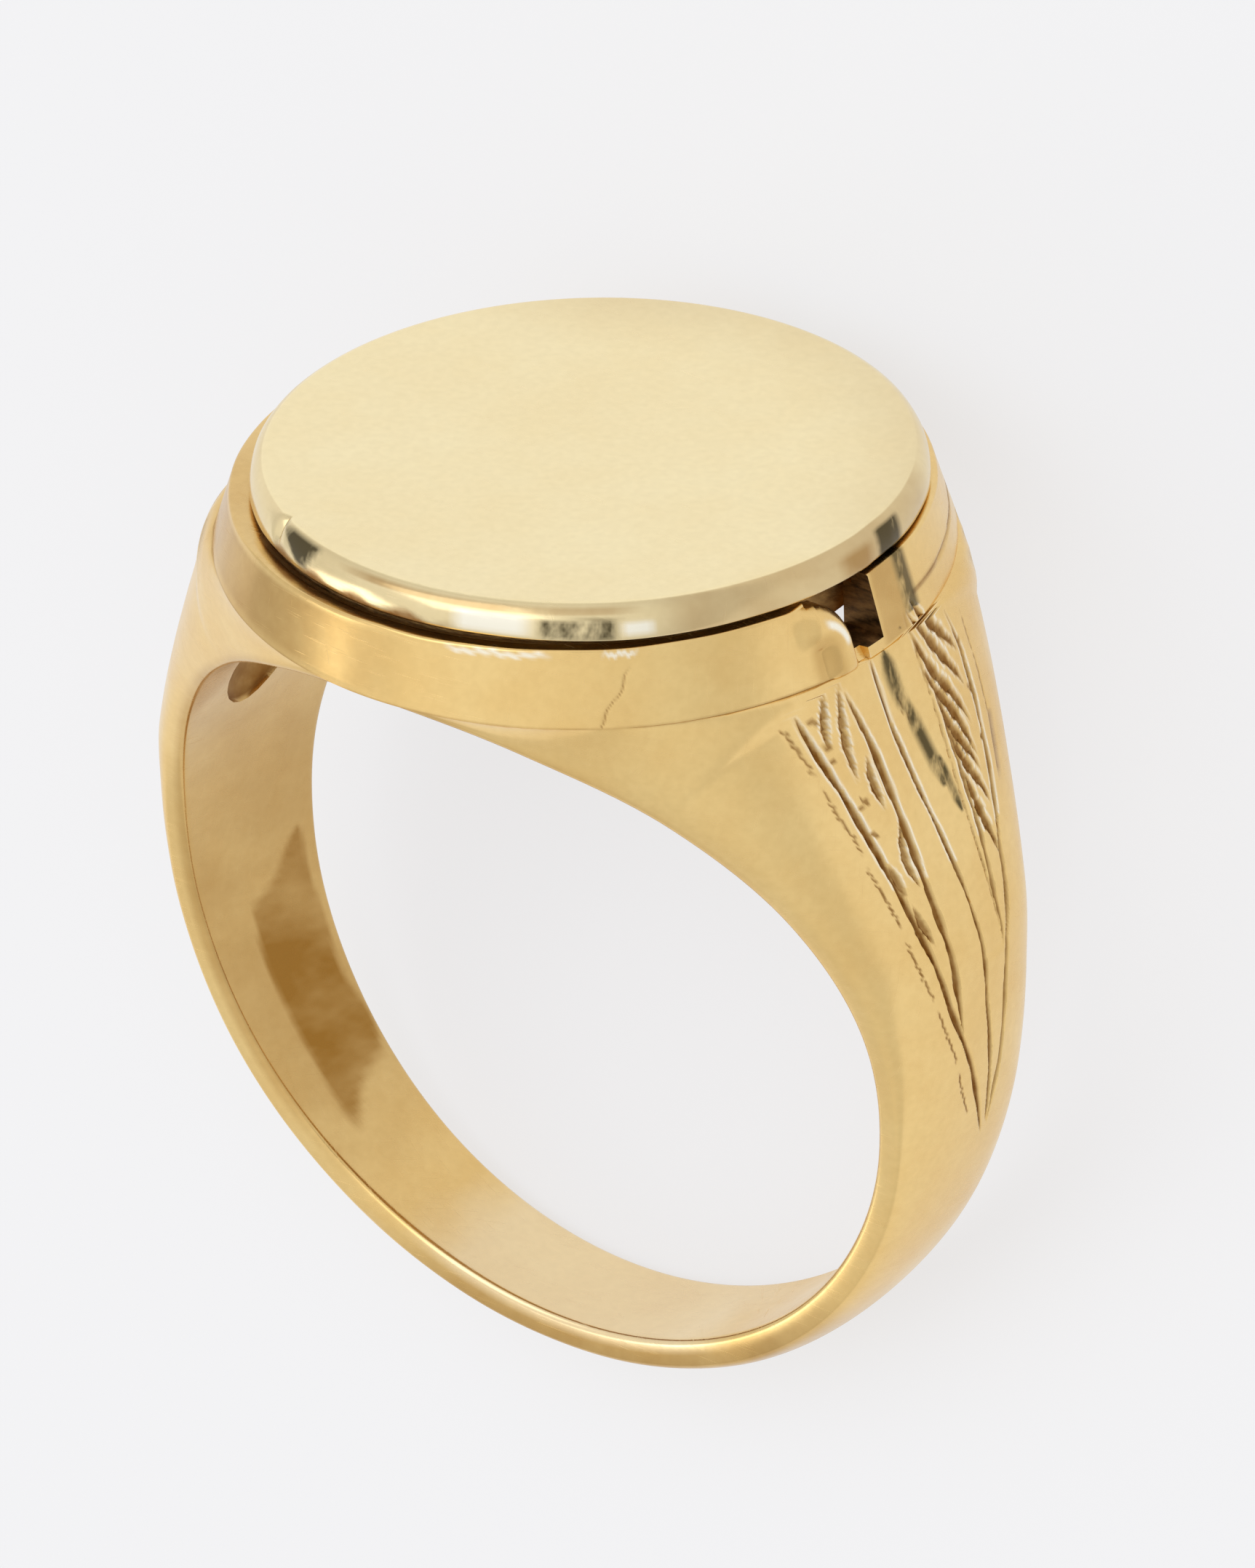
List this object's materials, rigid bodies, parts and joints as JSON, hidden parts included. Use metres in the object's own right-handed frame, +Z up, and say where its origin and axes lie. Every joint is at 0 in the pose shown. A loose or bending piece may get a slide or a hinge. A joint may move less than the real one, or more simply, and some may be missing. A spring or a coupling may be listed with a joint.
{
  "type": "poison ring",
  "caption": "Signet-shaped ring whose round head is a shallow box with a hinged lid, lying on its side.",
  "frame": {"origin": "middle of the finger hole, on its axis and halfway along it", "axes": "+Z up as the ring lies; the lid faces -Y and a little up; X runs across the finger hole"},
  "size_m": [0.0202, 0.0227, 0.0149],
  "materials": {
    "shank_gold": "polished yellow gold, worn, with tarnish in the engraving",
    "cup_gold": "brown, rough, tarnished gold",
    "lid_gold": "polished pale yellow gold with fine scratches",
    "pin_gold": "satin yellow gold"
  },
  "bodies": {
    "ring": {"shank": "shank_gold", "cup": "cup_gold", "hinge_pin": "pin_gold"},
    "lid": {"lid": "lid_gold"}
  },
  "joints": [
    {"name": "lid_hinge", "type": "hinge", "parent": "ring", "child": "lid", "pos_m": [0, -0.01187, -0.00399], "axis": [0.9994, 0.033, -0.0113], "range_deg": [-0.6, 90]}
  ]
}
